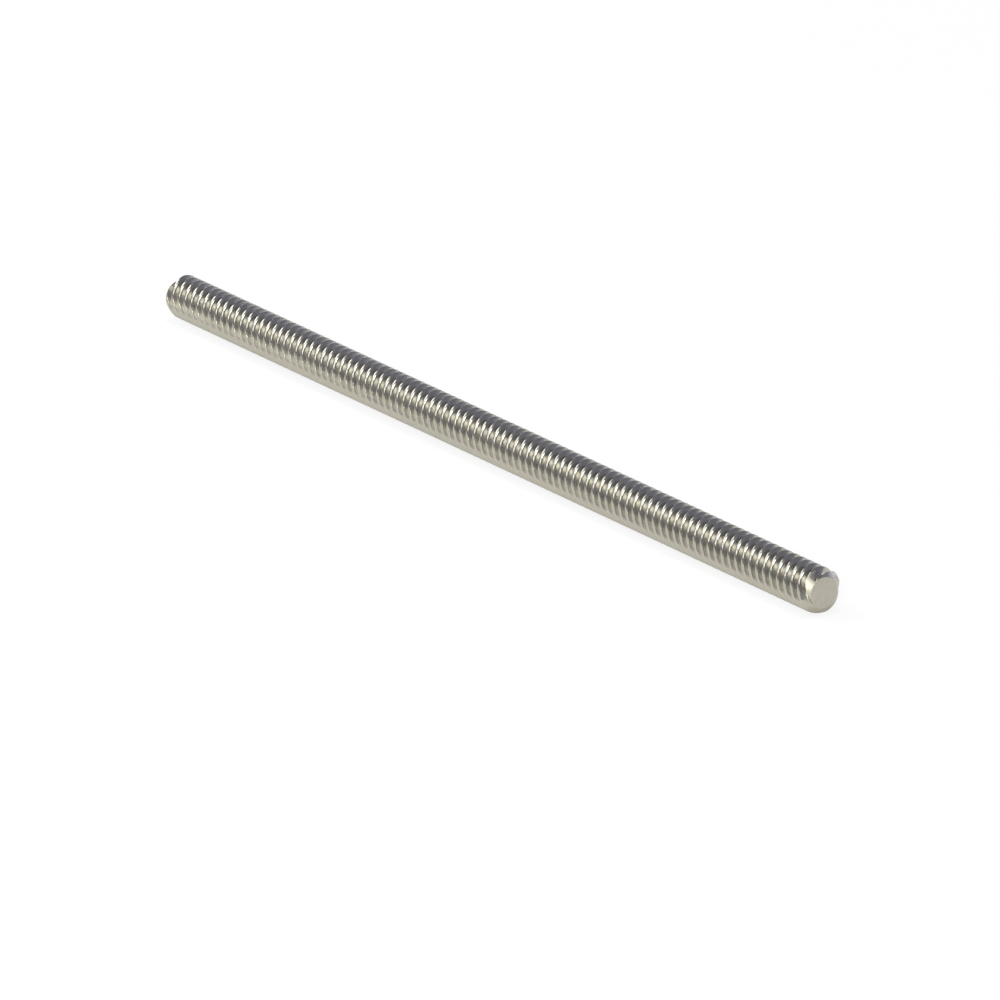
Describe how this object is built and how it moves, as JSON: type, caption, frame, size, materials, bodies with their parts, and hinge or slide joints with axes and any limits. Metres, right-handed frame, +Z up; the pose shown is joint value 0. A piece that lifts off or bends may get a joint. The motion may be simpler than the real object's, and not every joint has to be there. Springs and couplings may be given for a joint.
{
  "type": "trapezoidal lead screw",
  "caption": "Straight steel lead screw with a right-hand multi-start trapezoidal thread over its whole length and a lead-in cone at each end.",
  "frame": {"origin": "on the screw's axis, midway between the end faces, at the thread mount that holds it", "axes": "+X along the screw's axis, +Z up as the screw lies on a flat surface"},
  "size_m": [0.197, 0.008, 0.008],
  "materials": {
    "rolled_steel": "satin"
  },
  "bodies": {
    "root": {"lead_screw": "rolled_steel"}
  },
  "joints": []
}
